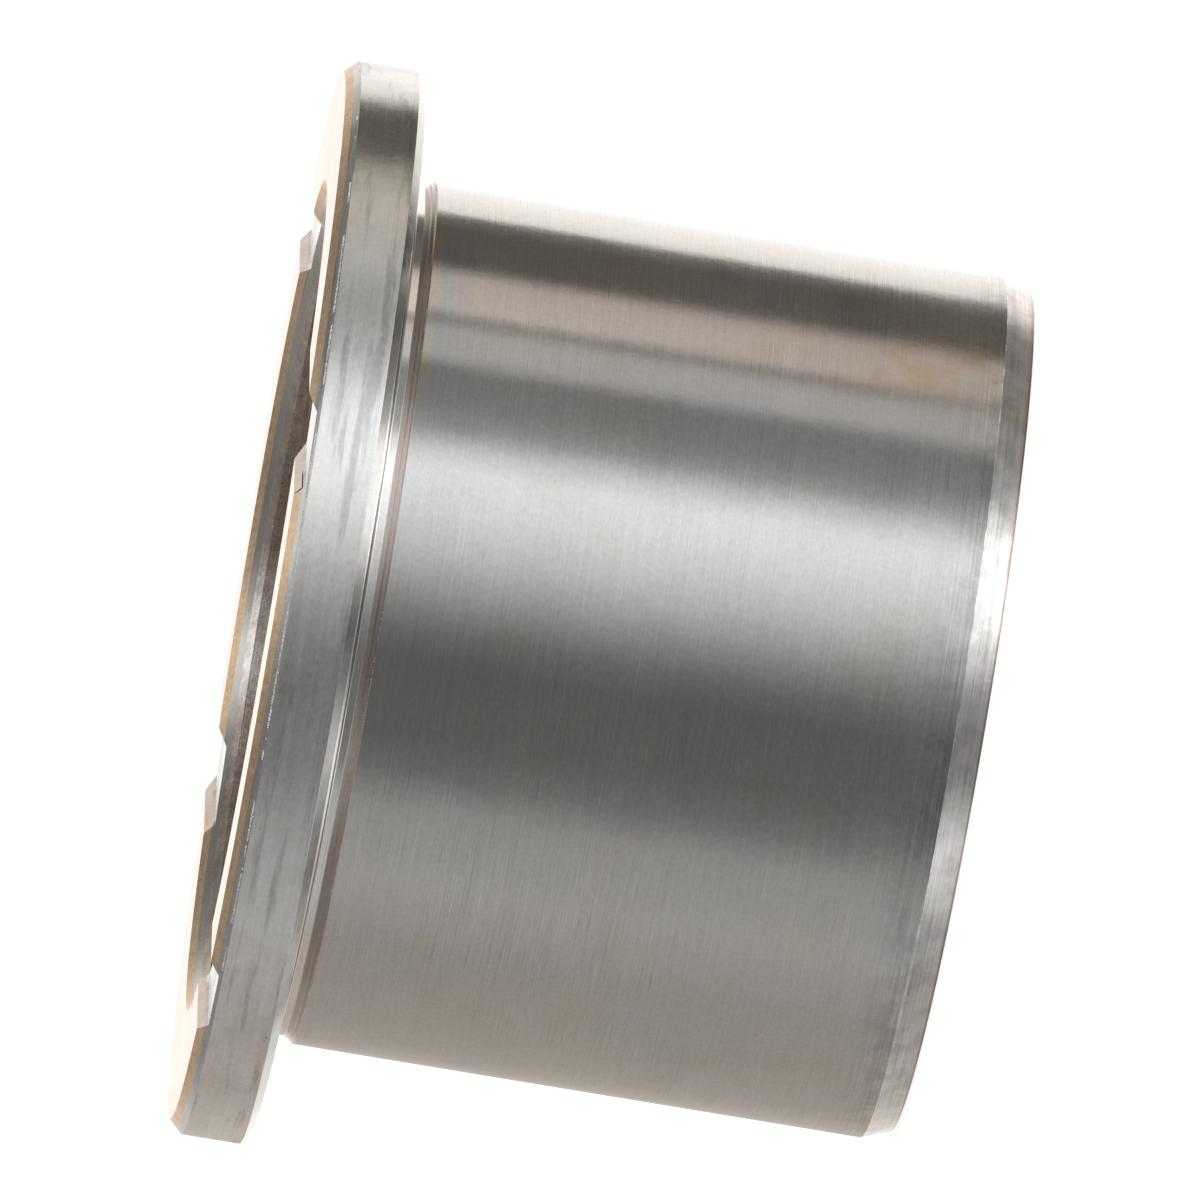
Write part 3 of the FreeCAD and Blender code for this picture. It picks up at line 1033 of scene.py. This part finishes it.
# Strips of the light tent, each belt for one tilt of the surface that mirrors it:
# (degrees round the axis from the camera's side, brightness, warmth)
TENT_LEVEL = (
    (-180, 0.74, 0.06), (-174, 0.54, 0.1), (-160, 0.48, 0.13), (-144, 0.445, 0.13), (-128, 0.425, 0.13),
    (-96, 0.4, 0.1), (-72, 0.5, 0.03), (-50, 0.42, 0.02), (-40, 0.23, 0.02), (-30, 0.165, 0.03),
    (-10, 0.15, 0.03), (-2, 0.215, 0.02), (6, 0.39, 0), (20, 0.84, -0.01), (32, 1.16, -0.02),
    (41, 1.29, -0.03), (47, 0.95, -0.01), (53, 0.44, 0), (60, 0.3, 0.02), (71, 0.25, 0.03),
    (75, 0.58, 0.03), (84, 0.58, 0.08), (88, 0.26, 0.08), (91, 0.68, 0.13), (104, 0.58, 0.15),
    (110, 0.135, 0.16), (128, 0.12, 0.2), (136, 0.22, 0.1), (138.5, 1.1, 0.08), (148, 1.22, 0.06),
    (166, 1.2, 0.03), (180, 1.5, 0.02),
)
TENT_LOW = (
    (-180, 1.2, 0.04), (-158, 0.98, 0.06), (-128, 0.72, 0.09), (-80, 0.49, 0.07), (-62, 0.54, 0.03),
    (-48, 1, 0), (-36, 1.15, 0), (-28, 0.75, 0), (-18, 0.36, 0), (-4, 0.36, 0),
    (6, 0.5, 0), (18, 1.6, 0), (26, 2.3, 0), (46, 2.3, 0), (56, 0.95, 0),
    (66, 0.52, 0.02), (84, 0.36, 0.06), (112, 0.25, 0.1), (124, 0.33, 0.08), (136, 1.15, 0.08),
    (180, 1.5, 0.03),
)
TENT_UNDER = (
    (-180, 1.3, 0.04), (-144, 0.95, 0.05), (-112, 0.85, 0.04), (-100, 0.5, 0.06), (-84, 0.5, 0.06),
    (-70, 0.58, 0.05), (-54, 0.85, 0.03), (-38, 0.72, 0.02), (-24, 0.42, 0.02), (-12, 0.06, 0.02),
    (8, 0.02, 0.02), (20, 0.03, 0), (28, 0.3, 0), (37, 1.1, 0), (45, 1.15, 0),
    (53, 0.45, 0), (60, 0.08, 0.01), (70, 0.03, 0.03), (88, 0.04, 0.06), (98, 0.3, 0.07),
    (110, 1, 0.07), (140, 1.15, 0.04), (180, 1.3, 0.02),
)
TENT_HIGH = (
    (-180, 1.32, 0.05), (-160, 0.95, 0.06), (-140, 0.56, 0.07), (-112, 0.33, 0.06), (-70, 0.3, 0.05),
    (-32, 0.2, 0.05), (-12, 0.25, 0.05), (2, 0.5, 0.03), (14, 1.06, 0.02), (26, 0.92, 0.02),
    (42, 0.34, 0.04), (60, 0.21, 0.06), (92, 0.22, 0.07), (116, 0.32, 0.08), (136, 0.62, 0.08),
    (156, 0.98, 0.07), (180, 1.28, 0.05),
)
TENT_TOP = (1.35, 1.32, 1.28, 1.0)


def warm(level, warmth):
    return (level * (1 + 0.9 * warmth), level, level * (1 - 0.75 * warmth), 1.0)


class BUSHING_OT_stage(bpy.types.Operator):
    """Pale floor, soft light tent and the camera"""
    bl_idname = "bushing.stage"
    bl_label = "Studio"

    def execute(self, context):
        self.lay_floor(context.scene)
        self.hang_tent(context.scene)
        self.set_camera(context.scene)
        return {"FINISHED"}

    def lay_floor(self, scene):
        edit = bmesh.new()
        bmesh.ops.create_circle(edit, cap_ends=True, segments=96, radius=scene.bushing_studio.floor_size)
        mesh = bpy.data.meshes.new("floor")
        edit.to_mesh(mesh)
        edit.free()
        mesh.transform(Matrix.Translation((0, 0, -0.02 * MM)))
        floor = link_object("floor", mesh)
        material, _, shader = new_finish("pale_floor", Roughness=0.7, Emission_Strength=0.75)
        shader.inputs["Base Color"].default_value = (0.86, 0.86, 0.85, 1.0)
        shader.inputs["Emission Color"].default_value = (1, 1, 1, 1)
        mesh.materials.append(material)
        floor.visible_glossy = False

    def hang_tent(self, scene):
        studio = scene.bushing_studio
        world = bpy.data.worlds.new("light_tent")
        scene.world = world
        world.use_nodes = True
        tree = world.node_tree
        tree.nodes.clear()
        level = math.cos(studio.elevation)
        side = Vector((
            math.sin(studio.azimuth) * level, -math.cos(studio.azimuth) * level, math.sin(studio.elevation)))
        halfway = vector_node(tree, "NORMALIZE", vector_node(tree, "ADD", object_place(tree), side))
        split = split_vector(tree, halfway)
        turn = times(tree, minus(tree, direction_round(tree, split[0], split[1]), studio.azimuth), 2.0)
        share = math_node(tree, "FRACT", plus(tree, math_node(tree, "DIVIDE", turn, 2 * math.pi), 0.5))
        tent = self.strips(tree, share, TENT_UNDER)
        for low, high, above in (
            (-0.66, -0.42, self.strips(tree, share, TENT_LOW)),
            (-0.30, -0.12, self.strips(tree, share, TENT_LEVEL)),
            (0.16, 0.46, self.strips(tree, share, TENT_HIGH)),
            (0.86, 0.97, TENT_TOP),
        ):
            tent = mix_colour(tree, map_smooth(tree, split[2], low, high), tent, above)
        light = add_node(tree, "ShaderNodeBackground", {"Color": tent, "Strength": studio.tent_level})
        white = add_node(tree, "ShaderNodeBackground", {"Color": (1, 1, 1, 1), "Strength": 1.05})
        seen = tree.nodes.new("ShaderNodeLightPath").outputs["Is Camera Ray"]
        mixed = add_node(tree, "ShaderNodeMixShader", {0: seen, 1: light.outputs[0], 2: white.outputs[0]})
        add_node(tree, "ShaderNodeOutputWorld", {"Surface": mixed.outputs[0]})
        scene.view_settings.view_transform = "Standard"

    def strips(self, tree, share, panels):
        ramp = add_node(tree, "ShaderNodeValToRGB", {0: share})
        bands = ramp.color_ramp
        bands.interpolation = "LINEAR"
        bands.elements.remove(bands.elements[0])
        for i, (degrees, level, warmth) in enumerate(panels):
            position = 0.5 + degrees / 360
            stop = bands.elements.new(position) if i else bands.elements[0]
            stop.position = position
            stop.color = warm(level, warmth)
        return ramp.outputs[0]

    def set_camera(self, scene):
        s = scene.bushing_studio
        toward = Vector((math.sin(s.azimuth), -math.cos(s.azimuth), 0))
        axis = Vector((0, 0, 1))
        back = math.cos(s.elevation) * toward + math.sin(s.elevation) * axis
        along = math.sin(s.elevation) * toward - math.cos(s.elevation) * axis
        across = Vector((math.cos(s.azimuth), math.sin(s.azimuth), 0))
        right = math.cos(s.lean) * along + math.sin(s.lean) * across
        up = -math.sin(s.lean) * along + math.cos(s.lean) * across
        place = Vector((0, 0, PAD_HIGH.z)) + s.aim_along * along + s.aim_across * across + s.distance * back
        data = bpy.data.cameras.new("studio_camera")
        data.sensor_width = 36
        data.lens = s.lens
        data.clip_start, data.clip_end = 0.05, 100
        camera = link_object("studio_camera", data)
        columns = (right, up, back, place)
        camera.matrix_world = Matrix([[column[k] for column in columns] for k in range(3)] + [[0, 0, 0, 1]])
        scene.camera = camera


class BUSHING_PT_panel(bpy.types.Panel):
    """Lists the bushing's pieces in building order"""
    bl_idname = "BUSHING_PT_panel"
    bl_label = "Flanged bushing"
    bl_space_type = "VIEW_3D"
    bl_region_type = "UI"
    bl_category = "Bushing"

    def draw(self, context):
        layout = self.layout
        for settings in SETTINGS:
            group = getattr(context.scene, settings)
            box = layout.box()
            for label in group.bl_rna.properties.keys():
                if label not in ("rna_type", "name"):
                    box.prop(group, label)
        for operator in PIECES:
            layout.operator(operator.bl_idname)


PIECES = (
    BUSHING_OT_sleeve, BUSHING_OT_flange, BUSHING_OT_weld, BUSHING_OT_lining, BUSHING_OT_pads,
    BUSHING_OT_burrs, BUSHING_OT_stage,
)
CLASSES = (*SETTINGS.values(), *PIECES, BUSHING_PT_panel)


def register():
    for cls in CLASSES:
        bpy.utils.register_class(cls)
    for name, group in SETTINGS.items():
        setattr(bpy.types.Scene, name, PointerProperty(type=group))


def unregister():
    for name in SETTINGS:
        delattr(bpy.types.Scene, name)
    for cls in reversed(CLASSES):
        bpy.utils.unregister_class(cls)


def main():
    register()
    bpy.ops.bushing.sleeve()
    bpy.ops.bushing.flange()
    bpy.ops.bushing.weld()
    bpy.ops.bushing.lining()
    bpy.ops.bushing.pads()
    bpy.ops.bushing.burrs()
    bpy.ops.bushing.stage()


if __name__ == "__main__":
    main()
